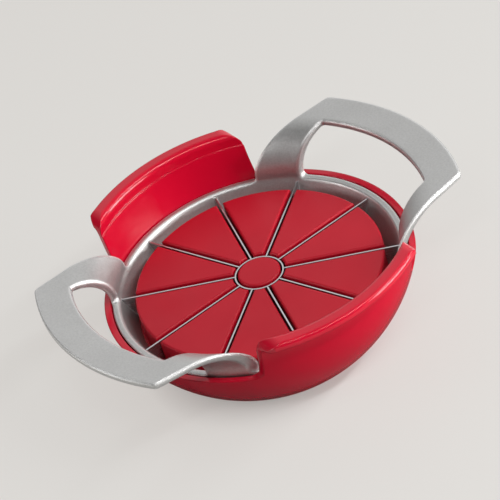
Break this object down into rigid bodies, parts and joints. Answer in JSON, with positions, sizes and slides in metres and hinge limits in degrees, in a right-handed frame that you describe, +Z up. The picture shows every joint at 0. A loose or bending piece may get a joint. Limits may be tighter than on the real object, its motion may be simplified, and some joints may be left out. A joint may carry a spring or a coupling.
{
  "type": "apple slicer press",
  "caption": "Kitchen apple slicer: a cast crown with two loop handles, radial blades and a core ring presses down into a round footed bowl with a slotted pad rest.",
  "frame": {"origin": "on the table, under the middle of the bowl's foot", "axes": "+Z up along the cutting stroke, +X from the middle through one handle, +Y through the middle of one high wall"},
  "size_m": [0.178, 0.1472, 0.055],
  "materials": {
    "bowl_plastic": "smooth moulded plastic, satin gloss",
    "rest_plastic": "smooth moulded plastic, finely textured pads",
    "cast_aluminium": "die-cast, fine matt tumbled surface",
    "blade_steel": "ground stainless steel strip"
  },
  "bodies": {
    "base": {"base_bowl": "bowl_plastic", "apple_rest": "rest_plastic"},
    "cutter": {"cutter_frame": "cast_aluminium", "core_ring": "blade_steel", "blade_01": "blade_steel", "blade_02": "blade_steel", "blade_03": "blade_steel", "blade_04": "blade_steel", "blade_05": "blade_steel", "blade_06": "blade_steel", "blade_07": "blade_steel", "blade_08": "blade_steel", "blade_09": "blade_steel", "blade_10": "blade_steel"}
  },
  "joints": [
    {"name": "cutter_press", "type": "slide", "parent": "base", "child": "cutter", "axis": [0, 0, 1], "range_m": [0, 0.09]}
  ]
}
